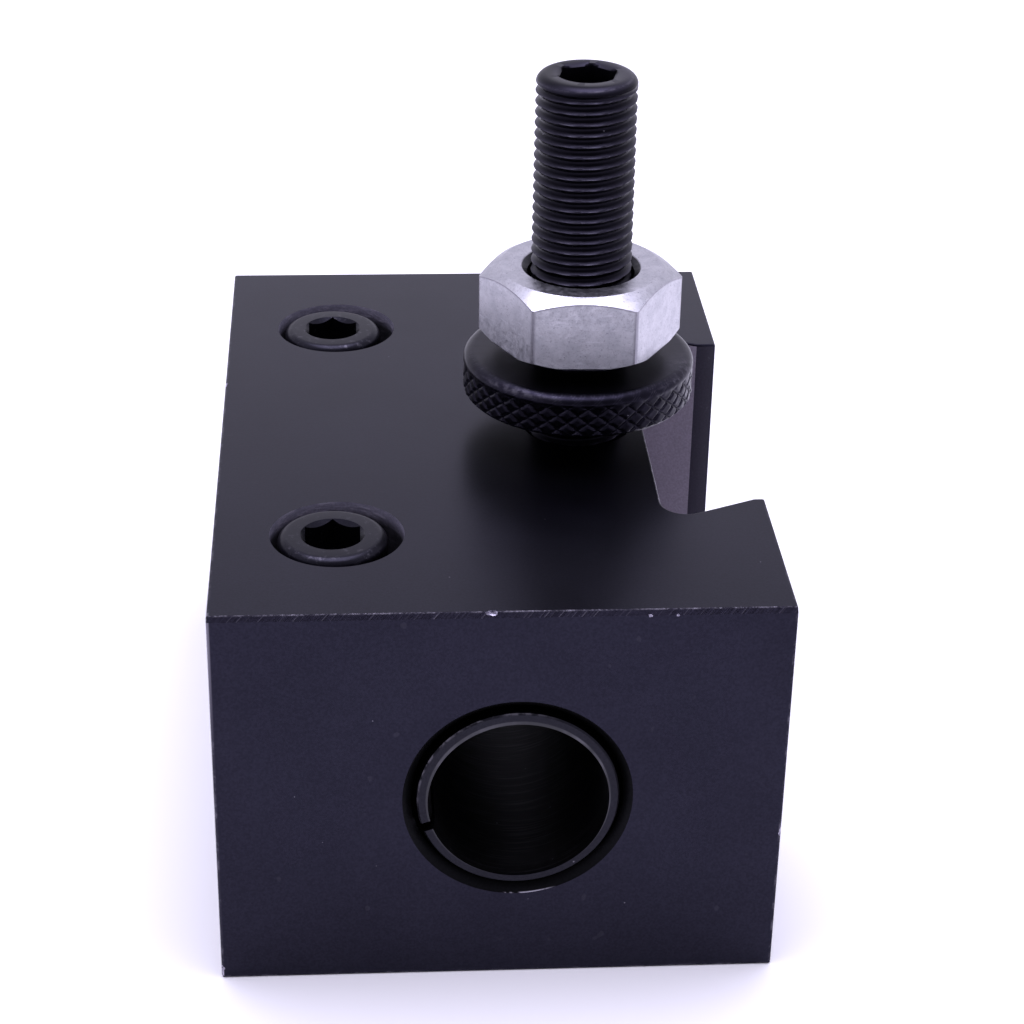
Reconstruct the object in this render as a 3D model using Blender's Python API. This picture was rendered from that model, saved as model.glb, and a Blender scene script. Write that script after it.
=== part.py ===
"""Boring bar holder of a quick change tool post set.

Axes: +X out of the dovetail slot, -Y out of the bore's front mouth, +Z up.
Origin: centre of the block's underside. Everything is in metres.
"""
import math

import bmesh
import bpy

MM = 0.001

# Block
BODY_WIDTH = 51.0 * MM
BODY_LENGTH = 74.5 * MM
BODY_HEIGHT = 38.5 * MM
FRONT_TOP_CHAMFER = 0.45 * MM
EDGE_BREAK = 0.25 * MM

# Dovetail slot in the +X face, running the full height
SLOT_DEPTH = 9.8 * MM
SLOT_CORNER_HALF = 20.97 * MM
SLOT_FLANK_ANGLE = math.radians(24.5)
SLOT_FILLET = 2.3 * MM
LIP_FLAT_FRONT = 1.0 * MM
LIP_FLAT_BACK = 2.0 * MM

# Bore along Y, with its split sleeve
BORE_X = 1.5 * MM
BORE_Z = 19.2 * MM
BORE_RADIUS = 9.525 * MM
BORE_CHAMFER = 0.8 * MM
SLEEVE_RADIUS = 9.07 * MM
SLEEVE_INNER_RADIUS = 7.94 * MM
SLEEVE_OUTER_CHAMFER = 0.15 * MM
SLEEVE_BORE_SHIFT = (0.03 * MM, -0.18 * MM)
SLEEVE_RECESS = 0.15 * MM
SLEEVE_X = BORE_X + 0.05 * MM
SLEEVE_Z = BORE_Z - 0.12 * MM
SLIT_WIDTH = 0.9 * MM
SLIT_ANGLE = math.radians(198.3)

# Clamp stations: a cap screw above draws a scalloped plug up against the sleeve
CLAMP_X = -14.3 * MM
CLAMP_HALF_PITCH = 22.65 * MM
COUNTERBORE_RADIUS = 6.1 * MM
COUNTERBORE_FLOOR_Z = 32.2 * MM
CLEARANCE_RADIUS = 3.6 * MM
PLUG_HOLE_RADIUS = 7.6 * MM
PLUG_HOLE_ROOF_Z = 27.4 * MM
SCREW_OFFSET_X = -0.4 * MM
SCREW_HEAD_RADIUS = 5.0 * MM
SCREW_HEAD_HEIGHT = 6.0 * MM
SCREW_HEAD_ROUND = 0.6 * MM
SCREW_SHANK_RADIUS = 2.8 * MM
SCREW_LENGTH = 20.0 * MM
SCREW_KEY = 5.0 * MM
SCREW_KEY_DEPTH = 3.0 * MM
PLUG_RADIUS = 7.2 * MM
PLUG_BOTTOM_Z = 9.2 * MM
PLUG_TOP_Z = 26.4 * MM
PLUG_THREAD_RADIUS = 3.1 * MM
PLUG_DROP = 1.25 * MM

# Height stud with its thumb wheel and lock nut
STUD_X = 9.3 * MM
STUD_Y = 0.0
STUD_RADIUS = 5.0 * MM
STUD_BOTTOM_Z = 30.9 * MM
STUD_TOP_Z = 74.1 * MM
STUD_END_ROUND = 1.5 * MM
STUD_KEY = 5.0 * MM
STUD_KEY_DEPTH = 5.0 * MM
STUD_KEY_TURN = math.radians(-13.5)
STUD_HOLE_RADIUS = 5.3 * MM
WHEEL_RADIUS = 11.2 * MM
WHEEL_FLAT_RADIUS = 10.1 * MM
WHEEL_BOTTOM_Z = 42.0 * MM
WHEEL_BAND_TOP_Z = 45.3 * MM
WHEEL_TOP_Z = 46.2 * MM
WHEEL_BOTTOM_CHAMFER = 0.4 * MM
NUT_ACROSS_FLATS = 17.0 * MM
NUT_BOTTOM_Z = 47.75 * MM
NUT_TOP_Z = 55.0 * MM
NUT_TURN = math.radians(-2.0)
NUT_TOP_FACE_RADIUS = 7.75 * MM
NUT_BOTTOM_FACE_RADIUS = 8.45 * MM
NUT_CONE_SLOPE = math.tan(math.radians(30.0))
THREAD_HOLE_RADIUS = 5.3 * MM
NUT_COUNTERSINK_RADIUS = 5.75 * MM

GAP = 0.3 * MM
PAST = 1.5 * MM


def clear_scene():
    for obj in list(bpy.data.objects):
        bpy.data.objects.remove(obj, do_unlink=True)


def steel(name, colour, roughness, metallic):
    """A plain metal finish."""
    mat = bpy.data.materials.new(name)
    mat.use_nodes = True
    shader = mat.node_tree.nodes["Principled BSDF"]
    shader.inputs["Base Color"].default_value = (*colour, 1.0)
    shader.inputs["Roughness"].default_value = roughness
    shader.inputs["Metallic"].default_value = metallic
    mat.diffuse_color = (*colour, 1.0)
    return mat


def add_object(name, bm, location=(0.0, 0.0, 0.0), rotation=(0.0, 0.0, 0.0)):
    """Put a bmesh into the scene as one named object."""
    bmesh.ops.recalc_face_normals(bm, faces=bm.faces)
    mesh = bpy.data.meshes.new(name)
    bm.to_mesh(mesh)
    bm.free()
    obj = bpy.data.objects.new(name, mesh)
    obj.location = location
    obj.rotation_euler = rotation
    bpy.context.scene.collection.objects.link(obj)
    return obj


def finish(obj, mat):
    """Give a sub-part its material and smooth its round faces."""
    obj.data.materials.append(mat)
    obj.data.shade_smooth()
    obj.data.set_sharp_from_angle(angle=math.radians(30))
    return obj


def turned(profile, segments):
    """Revolve (radius, z) points about Z; a radius of 0 closes on the axis."""
    bm = bmesh.new()
    rings = []
    for radius, z in profile:
        if radius == 0.0:
            rings.append([bm.verts.new((0.0, 0.0, z))])
            continue
        ring = []
        for i in range(segments):
            angle = 2.0 * math.pi * i / segments
            ring.append(bm.verts.new((radius * math.cos(angle), radius * math.sin(angle), z)))
        rings.append(ring)
    for low, high in zip(rings, rings[1:] + rings[:1]):
        if len(low) == 1 and len(high) == 1:
            continue
        for i in range(segments):
            j = (i + 1) % segments
            corners = [low[i % len(low)], low[j % len(low)], high[j % len(high)], high[i % len(high)]]
            bm.faces.new(list(dict.fromkeys(corners)))
    return bm


def prism(outline, low, high):
    """Extrude a closed XY outline from z = low to z = high."""
    bm = bmesh.new()
    floor = [bm.verts.new((x, y, low)) for x, y in outline]
    base = bm.faces.new(floor)
    raised = bmesh.ops.extrude_face_region(bm, geom=[base])["geom"]
    top = [item for item in raised if isinstance(item, bmesh.types.BMVert)]
    bmesh.ops.translate(bm, verts=top, vec=(0.0, 0.0, high - low))
    return bm


def arc(centre, radius, start, end, steps):
    """Points along a circular arc, both ends included."""
    points = []
    for i in range(steps + 1):
        angle = start + (end - start) * i / steps
        points.append((centre[0] + radius * math.cos(angle), centre[1] + radius * math.sin(angle)))
    return points


def hexagon(across_flats, turn):
    """Corner points of a hexagon; at turn 0 its corners point along Y."""
    radius = across_flats / math.sqrt(3.0)
    return arc((0.0, 0.0), radius, turn + math.pi / 2, turn + math.pi * 13 / 6, 5)


def boolean(obj, tool, operation="DIFFERENCE"):
    """Cut with, or keep what is inside, a hidden tool object."""
    tool.hide_render = True
    tool.display_type = "WIRE"
    mod = obj.modifiers.new(tool.name, "BOOLEAN")
    mod.operation = operation
    mod.solver = "EXACT"
    mod.object = tool


def slot_side(side, lip_flat):
    """One side of the slot, from its mouth to the floor; side is -1 in front, +1 behind."""
    face_x = BODY_WIDTH / 2
    floor_x = face_x - SLOT_DEPTH
    lip_x = face_x - lip_flat
    lip_y = SLOT_CORNER_HALF - (lip_x - floor_x) * math.tan(SLOT_FLANK_ANGLE)
    corner_angle = math.pi / 2 - SLOT_FLANK_ANGLE
    centre_y = SLOT_CORNER_HALF - SLOT_FILLET / math.tan(corner_angle / 2)
    fillet = arc((floor_x + SLOT_FILLET, centre_y), SLOT_FILLET, corner_angle, math.pi, 10)
    points = [(face_x, lip_y), (lip_x, lip_y)] + fillet
    return [(x, side * y) for x, y in points]


def body_outline():
    """The block seen from above, counter-clockwise from its front left corner."""
    half_w, half_l = BODY_WIDTH / 2, BODY_LENGTH / 2
    points = [(-half_w, -half_l), (half_w, -half_l)]
    points += slot_side(-1, LIP_FLAT_FRONT)
    points += reversed(slot_side(1, LIP_FLAT_BACK))
    points += [(half_w, half_l), (-half_w, half_l)]
    return points


def is_front_top(edge):
    ends = [v.co for v in edge.verts]
    return all(abs(c.y + BODY_LENGTH / 2) < 1e-6 and abs(c.z - BODY_HEIGHT) < 1e-6 for c in ends)


def is_sharp(edge):
    return len(edge.link_faces) == 2 and edge.calc_face_angle() > math.radians(50)


def chamfer(bm, edges, width):
    bmesh.ops.bevel(bm, geom=edges, offset=width, segments=1, affect="EDGES", clamp_overlap=True)


def clamp_stations():
    return (("front", -CLAMP_HALF_PITCH), ("rear", CLAMP_HALF_PITCH))


def bore_tool(radius, mouth, half_length):
    """Cutter for the through bore, with a chamfer at each mouth."""
    flare = mouth + PAST
    profile = [
        (0.0, -half_length - PAST), (radius + flare, -half_length - PAST),
        (radius, -half_length + mouth), (radius, half_length - mouth),
        (radius + flare, half_length + PAST), (0.0, half_length + PAST),
    ]
    bm = turned(profile, 96)
    place = (BORE_X, 0.0, BORE_Z)
    return add_object("bore_tool", bm, place, (math.pi / 2, 0.0, 0.0))


def clamp_hole_tool(label, y):
    """Cutter for one counterbore, clearance hole and plug hole, on one axis."""
    profile = [
        (0.0, -PAST), (PLUG_HOLE_RADIUS, -PAST), (PLUG_HOLE_RADIUS, PLUG_HOLE_ROOF_Z),
        (CLEARANCE_RADIUS, PLUG_HOLE_ROOF_Z), (CLEARANCE_RADIUS, COUNTERBORE_FLOOR_Z),
        (COUNTERBORE_RADIUS, COUNTERBORE_FLOOR_Z), (COUNTERBORE_RADIUS, BODY_HEIGHT + PAST),
        (0.0, BODY_HEIGHT + PAST),
    ]
    return add_object("clamp_hole_tool_" + label, turned(profile, 64), (CLAMP_X, y, 0.0))


def stud_hole_tool():
    low, high = STUD_BOTTOM_Z - GAP, BODY_HEIGHT + PAST
    profile = [(0.0, low), (STUD_HOLE_RADIUS, low), (STUD_HOLE_RADIUS, high), (0.0, high)]
    return add_object("stud_hole_tool", turned(profile, 48), (STUD_X, STUD_Y, 0.0))


def make_body(mat):
    bm = prism(body_outline(), 0.0, BODY_HEIGHT)
    chamfer(bm, [e for e in bm.edges if is_front_top(e)], FRONT_TOP_CHAMFER)
    chamfer(bm, [e for e in bm.edges if is_sharp(e)], EDGE_BREAK)
    body = add_object("holder_body", bm)
    boolean(body, bore_tool(BORE_RADIUS, BORE_CHAMFER, BODY_LENGTH / 2))
    for label, y in clamp_stations():
        boolean(body, clamp_hole_tool(label, y))
    boolean(body, stud_hole_tool())
    return finish(body, mat)


def make_sleeve(mat):
    """Split sleeve: a thin tube, its bore a little off centre, with one slit along its length."""
    half = BODY_LENGTH / 2 - SLEEVE_RECESS
    outer, bevel = SLEEVE_RADIUS, SLEEVE_OUTER_CHAMFER
    profile = [(0.0, -half), (outer - bevel, -half), (outer, -half + bevel),
               (outer, half - bevel), (outer - bevel, half), (0.0, half)]
    place = (SLEEVE_X, 0.0, SLEEVE_Z)
    turn = (math.pi / 2, 0.0, 0.0)
    sleeve = add_object("split_sleeve", turned(profile, 96), place, turn)
    hole = [(0.0, -half - PAST), (SLEEVE_INNER_RADIUS, -half - PAST),
            (SLEEVE_INNER_RADIUS, half + PAST), (0.0, half + PAST)]
    shift_x, shift_z = SLEEVE_BORE_SHIFT
    hole_place = (SLEEVE_X + shift_x, 0.0, SLEEVE_Z + shift_z)
    boolean(sleeve, add_object("sleeve_hole_tool", turned(hole, 96), hole_place, turn))
    reach, side = outer + PAST, SLIT_WIDTH / 2
    corners = [(0.0, -side), (reach, -side), (reach, side), (0.0, side)]
    c, s = math.cos(SLIT_ANGLE), math.sin(SLIT_ANGLE)
    outline = [(x * c - y * s, x * s + y * c) for x, y in corners]
    slit = add_object("slit_tool", prism(outline, -half - PAST, half + PAST), place, turn)
    boolean(sleeve, slit)
    return finish(sleeve, mat)


def make_clamp_screw(label, y, mat):
    """Socket head cap screw; its head turns in the counterbore."""
    seat = COUNTERBORE_FLOOR_Z + GAP
    top = seat + SCREW_HEAD_HEIGHT
    tip = seat - SCREW_LENGTH
    rim = arc((SCREW_HEAD_RADIUS - SCREW_HEAD_ROUND, top - SCREW_HEAD_ROUND),
              SCREW_HEAD_ROUND, 0.0, math.pi / 2, 4)
    bevel = 0.5 * MM
    profile = [(0.0, tip), (SCREW_SHANK_RADIUS - bevel, tip), (SCREW_SHANK_RADIUS, tip + bevel),
               (SCREW_SHANK_RADIUS, seat), (SCREW_HEAD_RADIUS - bevel / 2, seat),
               (SCREW_HEAD_RADIUS, seat + bevel / 2)]
    profile += rim + [(0.0, top)]
    place = (CLAMP_X + SCREW_OFFSET_X, y, 0.0)
    screw = add_object("clamp_screw_" + label, turned(profile, 48), place)
    socket = prism(hexagon(SCREW_KEY, 0.0), top - SCREW_KEY_DEPTH, top + PAST)
    boolean(screw, add_object("screw_key_tool_" + label, socket, place))
    return finish(screw, mat)


def scallop_tool(label, y):
    """Cutter for the plug's scallop: the sleeve's round, drawn out upwards so the plug can drop."""
    radius = SLEEVE_RADIUS + GAP
    lift = PLUG_DROP + GAP
    lower = arc((0.0, 0.0), radius, math.pi, 2.0 * math.pi, 48)
    upper = arc((0.0, lift), radius, 0.0, math.pi, 48)
    reach = PLUG_RADIUS + PAST
    place = (SLEEVE_X, y, SLEEVE_Z)
    return add_object("scallop_tool_" + label, prism(lower + upper, -reach, reach),
                      place, (math.pi / 2, 0.0, 0.0))


def make_clamp_plug(label, y, mat):
    """Draw plug, tapped for the cap screw and scalloped to bear on the sleeve."""
    bevel = 0.5 * MM
    low, high, radius = PLUG_BOTTOM_Z, PLUG_TOP_Z, PLUG_RADIUS
    profile = [(0.0, low), (radius - bevel, low), (radius, low + bevel),
               (radius, high - bevel), (radius - bevel, high), (0.0, high)]
    plug = add_object("clamp_plug_" + label, turned(profile, 64), (CLAMP_X, y, 0.0))
    hole = [(0.0, low - PAST), (PLUG_THREAD_RADIUS, low - PAST),
            (PLUG_THREAD_RADIUS, high + PAST), (0.0, high + PAST)]
    boolean(plug, add_object("plug_thread_tool_" + label, turned(hole, 32),
                             (CLAMP_X + SCREW_OFFSET_X, y, 0.0)))
    boolean(plug, scallop_tool(label, y))
    return finish(plug, mat)


def make_stud(mat):
    bevel = 0.6 * MM
    rim = arc((STUD_RADIUS - STUD_END_ROUND, STUD_TOP_Z - STUD_END_ROUND),
              STUD_END_ROUND, 0.0, math.pi / 2, 8)
    profile = [(0.0, STUD_BOTTOM_Z), (STUD_RADIUS - bevel, STUD_BOTTOM_Z),
               (STUD_RADIUS, STUD_BOTTOM_Z + bevel)]
    profile += rim + [(0.0, STUD_TOP_Z)]
    place = (STUD_X, STUD_Y, 0.0)
    stud = add_object("height_stud", turned(profile, 64), place)
    socket = prism(hexagon(STUD_KEY, STUD_KEY_TURN), STUD_TOP_Z - STUD_KEY_DEPTH, STUD_TOP_Z + PAST)
    boolean(stud, add_object("stud_key_tool", socket, place))
    return finish(stud, mat)


def make_wheel(mat):
    """Thumb wheel; its rim overhangs the slot and rests on the tool post."""
    profile = [
        (THREAD_HOLE_RADIUS, WHEEL_BOTTOM_Z), (WHEEL_RADIUS - WHEEL_BOTTOM_CHAMFER, WHEEL_BOTTOM_Z),
        (WHEEL_RADIUS, WHEEL_BOTTOM_Z + WHEEL_BOTTOM_CHAMFER), (WHEEL_RADIUS, WHEEL_BAND_TOP_Z),
        (WHEEL_FLAT_RADIUS, WHEEL_TOP_Z), (THREAD_HOLE_RADIUS, WHEEL_TOP_Z),
    ]
    return finish(add_object("thumb_wheel", turned(profile, 96), (STUD_X, STUD_Y, 0.0)), mat)


def make_nut(mat):
    """Hex lock nut, chamfered on both ends."""
    place = (STUD_X, STUD_Y, 0.0)
    outline = hexagon(NUT_ACROSS_FLATS, NUT_TURN + math.pi / 6)
    nut = add_object("lock_nut", prism(outline, NUT_BOTTOM_Z, NUT_TOP_Z), place)
    wide = NUT_ACROSS_FLATS * 0.75
    top_drop = (wide - NUT_TOP_FACE_RADIUS) * NUT_CONE_SLOPE
    bottom_rise = (wide - NUT_BOTTOM_FACE_RADIUS) * NUT_CONE_SLOPE
    sink = NUT_COUNTERSINK_RADIUS - THREAD_HOLE_RADIUS
    envelope = [
        (THREAD_HOLE_RADIUS, NUT_BOTTOM_Z + sink), (NUT_COUNTERSINK_RADIUS, NUT_BOTTOM_Z),
        (NUT_BOTTOM_FACE_RADIUS, NUT_BOTTOM_Z), (wide, NUT_BOTTOM_Z + bottom_rise),
        (wide, NUT_TOP_Z - top_drop), (NUT_TOP_FACE_RADIUS, NUT_TOP_Z),
        (NUT_COUNTERSINK_RADIUS, NUT_TOP_Z), (THREAD_HOLE_RADIUS, NUT_TOP_Z - sink),
    ]
    boolean(nut, add_object("nut_envelope_tool", turned(envelope, 96), place), "INTERSECT")
    return finish(nut, mat)


def main():
    clear_scene()
    make_body(steel("black_oxide_body", (0.022, 0.021, 0.028), 0.42, 0.7))
    make_sleeve(steel("dark_sleeve_steel", (0.03, 0.029, 0.033), 0.38, 0.8))
    screw_steel = steel("black_oxide_screw", (0.014, 0.014, 0.017), 0.4, 0.7)
    plug_steel = steel("black_oxide_plug", (0.025, 0.025, 0.028), 0.45, 0.7)
    for label, y in clamp_stations():
        make_clamp_screw(label, y, screw_steel)
        make_clamp_plug(label, y, plug_steel)
    make_stud(steel("black_oxide_stud", (0.02, 0.02, 0.026), 0.45, 0.7))
    make_wheel(steel("black_oxide_wheel", (0.024, 0.023, 0.03), 0.35, 0.75))
    make_nut(steel("zinc_plated_nut", (0.62, 0.62, 0.67), 0.32, 1.0))


main()
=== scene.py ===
"""Looks of the boring bar holder: detailed meshes, procedural finishes, studio and camera."""
import math
from functools import reduce

import bmesh
import bpy
from mathutils import Matrix, Vector, noise


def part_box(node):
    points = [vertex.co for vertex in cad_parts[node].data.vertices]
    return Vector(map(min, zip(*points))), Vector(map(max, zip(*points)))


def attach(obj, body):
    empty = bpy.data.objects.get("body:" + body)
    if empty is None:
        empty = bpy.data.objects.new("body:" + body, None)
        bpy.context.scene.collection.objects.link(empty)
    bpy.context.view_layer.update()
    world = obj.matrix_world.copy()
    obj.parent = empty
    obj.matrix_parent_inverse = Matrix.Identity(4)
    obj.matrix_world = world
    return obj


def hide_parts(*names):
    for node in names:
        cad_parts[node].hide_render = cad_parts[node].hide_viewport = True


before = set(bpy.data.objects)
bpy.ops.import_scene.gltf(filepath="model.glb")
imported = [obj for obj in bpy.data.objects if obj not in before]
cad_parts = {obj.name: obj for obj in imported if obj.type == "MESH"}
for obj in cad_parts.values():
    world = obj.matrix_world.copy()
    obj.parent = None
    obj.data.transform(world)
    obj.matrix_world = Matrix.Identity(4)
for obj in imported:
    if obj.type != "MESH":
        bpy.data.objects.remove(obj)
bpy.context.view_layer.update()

MM = 0.001

# Places taken from the frame
BODY_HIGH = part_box("holder_body")[1]
HALF_WIDTH = BODY_HIGH.x
HALF_LENGTH = BODY_HIGH.y
HEIGHT = BODY_HIGH.z
STUD_LOW, STUD_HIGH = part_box("height_stud")
STUD_X = (STUD_LOW.x + STUD_HIGH.x) / 2
STUD_Y = (STUD_LOW.y + STUD_HIGH.y) / 2
STUD_RADIUS = (STUD_HIGH.x - STUD_LOW.x) / 2
SLEEVE_LOW, SLEEVE_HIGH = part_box("split_sleeve")
SLEEVE_X = (SLEEVE_LOW.x + SLEEVE_HIGH.x) / 2
SLEEVE_Z = (SLEEVE_LOW.z + SLEEVE_HIGH.z) / 2
SLEEVE_RADIUS = (SLEEVE_HIGH.x - SLEEVE_LOW.x) / 2
WHEEL_LOW, WHEEL_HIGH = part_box("thumb_wheel")
WHEEL_RADIUS = (WHEEL_HIGH.x - WHEEL_LOW.x) / 2
NUT_LOW, NUT_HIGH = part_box("lock_nut")
SCREW_BOXES = {label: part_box("clamp_screw_" + label) for label in ("front", "rear")}
STATION_Y = {label: (low.y + high.y) / 2 for label, (low, high) in SCREW_BOXES.items()}

# Block features
FRONT_TOP_CHAMFER = 0.45 * MM
EDGE_BREAK = 0.22 * MM
SLOT_DEPTH = 9.8 * MM
SLOT_CORNER_HALF = 20.97 * MM
SLOT_FLANK_ANGLE = math.radians(24.5)
SLOT_FILLET = 2.3 * MM
LIP_FLAT_FRONT = 1.0 * MM
LIP_FLAT_BACK = 2.0 * MM
BORE_X = 1.5 * MM
BORE_Z = 19.2 * MM
BORE_RADIUS = 9.525 * MM
BORE_CHAMFER = 0.8 * MM
CLAMP_X = -14.3 * MM
COUNTERBORE_RADIUS = 6.1 * MM
COUNTERBORE_FLOOR_Z = 32.2 * MM
CLEARANCE_RADIUS = 3.6 * MM
PLUG_HOLE_RADIUS = 7.6 * MM
PLUG_HOLE_ROOF_Z = 27.4 * MM
STUD_HOLE_RADIUS = 5.3 * MM
STUD_HOLE_Z = 30.6 * MM

# Sleeve
SLEEVE_INNER_RADIUS = 7.94 * MM
SLEEVE_INNER_LEAD = 0.2 * MM
SLEEVE_LEAD_DEPTH = 1.0 * MM
SLEEVE_OUTER_CHAMFER = 0.15 * MM
SLEEVE_BORE_SHIFT = (0.03 * MM, -0.18 * MM)
SLIT_WIDTH = 0.9 * MM
SLIT_ANGLE = math.radians(198.3)

# Cap screws
SCREW_HEAD_HEIGHT = 6.0 * MM
SCREW_HEAD_RADIUS = 5.0 * MM
SCREW_HEAD_ROUND = 0.85 * MM
SCREW_SHANK_RADIUS = 2.8 * MM
SCREW_KEY = 5.0 * MM
SCREW_KEY_DEPTH = 3.0 * MM
SCREW_SEGMENTS = 192
SCREW_KNURL_STEP = 4
SCREW_KNURL_DEPTH = 0.07 * MM
KEY_SINK = 0.42 * MM

# Stud, wheel and nut
THREAD_PITCH = 1.05 * MM
THREAD_DEPTH = 0.46 * MM
THREAD_TAPER = 0.17 * MM
THREAD_CREST_INSET = 0.07 * MM
THREAD_END_BELOW_TOP = 0.75 * MM
THREAD_RUN_OUT = 0.5 * MM
STUD_LOW_CHAMFER = 0.9 * MM
STUD_END_DROP = 0.95 * MM
STUD_END_INSET = 1.0 * MM
STUD_KEY = 5.0 * MM
STUD_KEY_DEPTH = 5.0 * MM
STUD_KEY_TURN = math.radians(16.5)
WHEEL_FLAT_RADIUS = 10.1 * MM
WHEEL_RIM_DROP = 0.9 * MM
WHEEL_BOTTOM_CHAMFER = 0.4 * MM
WHEEL_HOLE_RADIUS = 5.2 * MM
KNURL_DEPTH = 0.24 * MM
KNURL_PITCH_Z = 1.5 * MM
KNURL_COUNT = 36
KNURL_FLAT_GAIN = 2.6
KNURL_END_BELOW_TOP = 0.8 * MM
KNURL_RUN_OUT = 0.5 * MM
# Two angles where the wheel's rims carry rubs and painted highlights.
RIM_RUBS_AND_HIGHLIGHTS = (math.radians(-128.0), math.radians(-28.0))
# Angle of the wheel's right side, where a painted light brightens the knurl.
SIDE_PAINTED_LIGHT = math.radians(-22.0)
NUT_ACROSS_FLATS = 17.0 * MM
NUT_TURN = math.radians(-2.0)
NUT_TOP_FACE_RADIUS = 7.75 * MM
NUT_BOTTOM_FACE_RADIUS = 8.45 * MM
NUT_CONE_SLOPE = math.tan(math.radians(30.0))
NUT_COUNTERSINK_RADIUS = 5.75 * MM
NUT_HOLE_RADIUS = 5.15 * MM

# How far a cutter reaches past what it cuts, and two tolerances
PAST = 1.5 * MM
TOUCH = 0.01 * MM
CLEAR = 0.1 * MM

# Tilt that lays a piece turned about Z along Y
LYING = math.pi / 2

# Kinds of face on the block, in the order of its materials
GROUND, CHAMFERED, MILLED, BORED, DRILLED, CHIPPED, LIP = range(7)


# Meshes

def link_object(name, bm, location=(0.0, 0.0, 0.0), tilt=0.0):
    """A bmesh, tilted about X and moved, as a scene object whose mesh holds its place."""
    bmesh.ops.recalc_face_normals(bm, faces=bm.faces)
    mesh = bpy.data.meshes.new(name)
    bm.to_mesh(mesh)
    bm.free()
    mesh.transform(Matrix.Translation(location) @ Matrix.Rotation(tilt, 4, "X"))
    obj = bpy.data.objects.new(name, mesh)
    bpy.context.scene.collection.objects.link(obj)
    return obj


def turned(profile, segments):
    """Revolve (radius, z) points about Z; a radius of 0 closes on the axis."""
    bm = bmesh.new()
    rings = []
    for radius, z in profile:
        if radius == 0.0:
            rings.append([bm.verts.new((0.0, 0.0, z))])
            continue
        angles = (2.0 * math.pi * i / segments for i in range(segments))
        rings.append([bm.verts.new((radius * math.cos(a), radius * math.sin(a), z)) for a in angles])
    for low, high in zip(rings, rings[1:] + rings[:1]):
        if len(low) == 1 and len(high) == 1:
            continue
        for i in range(segments):
            j = (i + 1) % segments
            corners = [low[i % len(low)], low[j % len(low)], high[j % len(high)], high[i % len(high)]]
            bm.faces.new(list(dict.fromkeys(corners)))
    return bm


def prism(outline, low, high):
    """Extrude a closed XY outline from z = low to z = high."""
    bm = bmesh.new()
    base = bm.faces.new([bm.verts.new((x, y, low)) for x, y in outline])
    raised = bmesh.ops.extrude_face_region(bm, geom=[base])["geom"]
    top = [item for item in raised if isinstance(item, bmesh.types.BMVert)]
    bmesh.ops.translate(bm, verts=top, vec=(0.0, 0.0, high - low))
    return bm


def arc(centre, radius, start, end, steps):
    """Points along a circular arc, both ends included."""
    angles = [start + (end - start) * i / steps for i in range(steps + 1)]
    return [(centre[0] + radius * math.cos(a), centre[1] + radius * math.sin(a)) for a in angles]


def hexagon(across_flats, turn):
    """Corner points of a hexagon; at turn 0 its corners point along Y."""
    radius = across_flats / math.sqrt(3.0)
    return arc((0.0, 0.0), radius, turn + math.pi / 2, turn + math.pi * 13 / 6, 5)


def boolean(obj, tool, operation="DIFFERENCE"):
    """Cut with, or keep what is inside, a tool object, then drop the tool."""
    mod = obj.modifiers.new("cut", "BOOLEAN")
    mod.operation = operation
    mod.solver = "EXACT"
    mod.object = tool
    apply_modifiers(obj)
    bpy.data.objects.remove(tool, do_unlink=True)


def apply_modifiers(obj):
    """Replace the object's mesh by its evaluated one."""
    graph = bpy.context.evaluated_depsgraph_get()
    mesh = bpy.data.meshes.new_from_object(obj.evaluated_get(graph))
    old = obj.data
    obj.modifiers.clear()
    obj.data = mesh
    bpy.data.meshes.remove(old)


def soften(obj, angle=25.0):
    """Smooth the round faces, keep the corners, and keep large flat faces flat."""
    obj.data.shade_smooth()
    obj.data.set_sharp_from_angle(angle=math.radians(angle))
    mod = obj.modifiers.new("flat_faces", "WEIGHTED_NORMAL")
    mod.keep_sharp = True
    apply_modifiers(obj)


def bevel_edges(obj, width, segments, angle):
    """Round the edges that are sharper than angle, in degrees."""
    mod = obj.modifiers.new("edge_break", "BEVEL")
    mod.width = width
    mod.segments = segments
    mod.limit_method = "ANGLE"
    mod.angle_limit = math.radians(angle)
    apply_modifiers(obj)


def slot_side(side, lip_flat):
    """One side of the slot, from its mouth to the floor; side is -1 in front, +1 behind."""
    floor_x = HALF_WIDTH - SLOT_DEPTH
    lip_x = HALF_WIDTH - lip_flat
    lip_y = SLOT_CORNER_HALF - (lip_x - floor_x) * math.tan(SLOT_FLANK_ANGLE)
    corner_angle = math.pi / 2 - SLOT_FLANK_ANGLE
    centre_y = SLOT_CORNER_HALF - SLOT_FILLET / math.tan(corner_angle / 2)
    fillet = arc((floor_x + SLOT_FILLET, centre_y), SLOT_FILLET, corner_angle, math.pi, 16)
    points = [(HALF_WIDTH, lip_y), (lip_x, lip_y)] + fillet
    return [(x, side * y) for x, y in points]


def body_outline():
    """The block seen from above, counter-clockwise from its front left corner."""
    points = [(-HALF_WIDTH, -HALF_LENGTH), (HALF_WIDTH, -HALF_LENGTH)]
    points += slot_side(-1, LIP_FLAT_FRONT)
    points += reversed(slot_side(1, LIP_FLAT_BACK))
    points += [(HALF_WIDTH, HALF_LENGTH), (-HALF_WIDTH, HALF_LENGTH)]
    return points


def is_front_top(edge):
    """Whether this is the edge between the front and the top."""
    ends = [v.co for v in edge.verts]
    return all(abs(c.y + HALF_LENGTH) < TOUCH and abs(c.z - HEIGHT) < TOUCH for c in ends)


def is_sharp(edge):
    """Whether two faces meet here at more than 50 degrees."""
    return len(edge.link_faces) == 2 and edge.calc_face_angle() > math.radians(50)


def chamfer(bm, edges, width, segments=1):
    bmesh.ops.bevel(bm, geom=edges, offset=width, segments=segments, affect="EDGES",
                    profile=0.5, clamp_overlap=True)


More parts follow.
